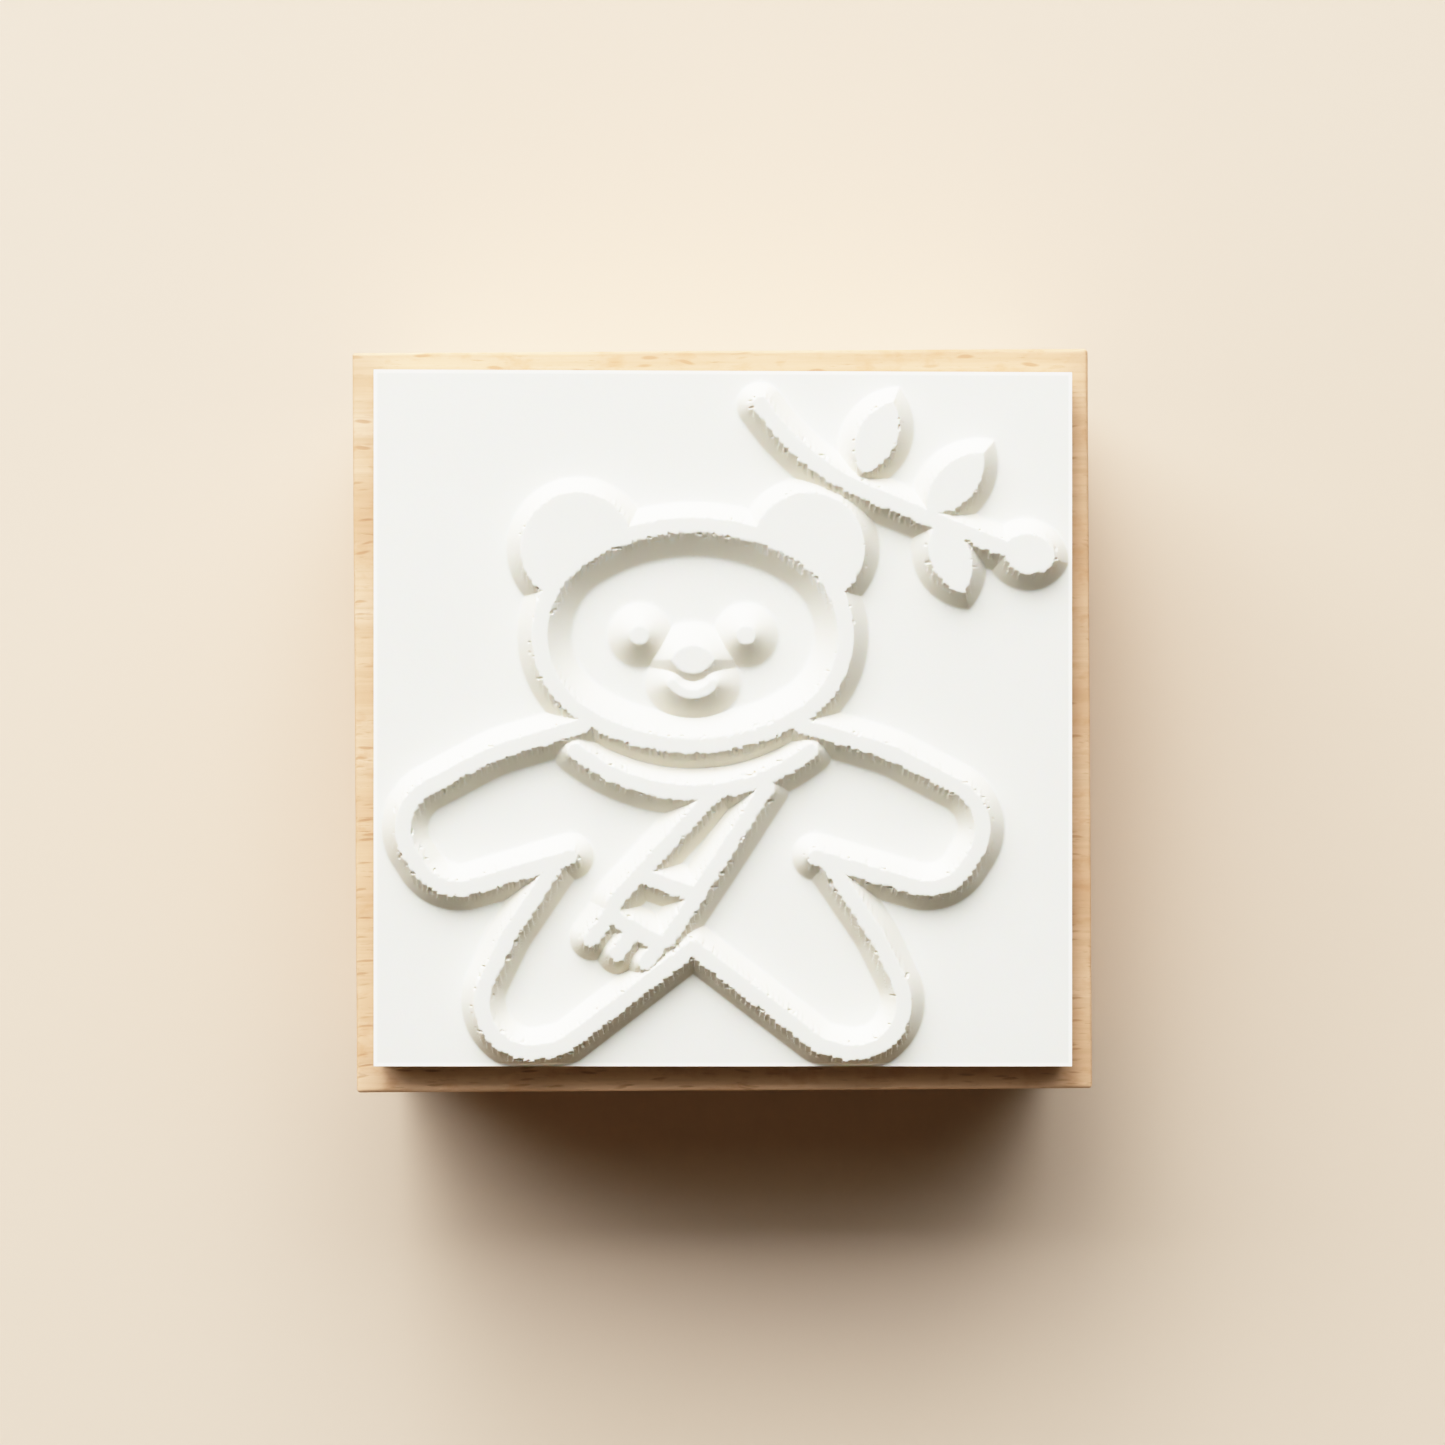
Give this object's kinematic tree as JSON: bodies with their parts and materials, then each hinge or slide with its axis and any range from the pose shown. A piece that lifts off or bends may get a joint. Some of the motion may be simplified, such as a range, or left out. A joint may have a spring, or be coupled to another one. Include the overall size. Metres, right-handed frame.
{
  "type": "rubber stamp",
  "caption": "Wood-mounted rubber stamp lying face up: square hardwood block, thin foam cushion and an engraved white rubber die with a raised bear and twig picture.",
  "frame": {"origin": "middle of the block's plain handle face, which the stamp rests on", "axes": "+Z towards the printing face; +X and +Y along the block's sides, +Y to the top of the picture"},
  "size_m": [0.05, 0.0502, 0.028],
  "materials": {
    "beech_wood": "matte",
    "clear_adhesive": "satin",
    "cushion_foam": "matte",
    "white_rubber": "matte"
  },
  "bodies": {
    "root": {"wooden_block": "beech_wood", "block_adhesive_film": "clear_adhesive", "foam_cushion": "cushion_foam", "die_adhesive_film": "clear_adhesive", "rubber_die": "white_rubber"}
  },
  "joints": []
}
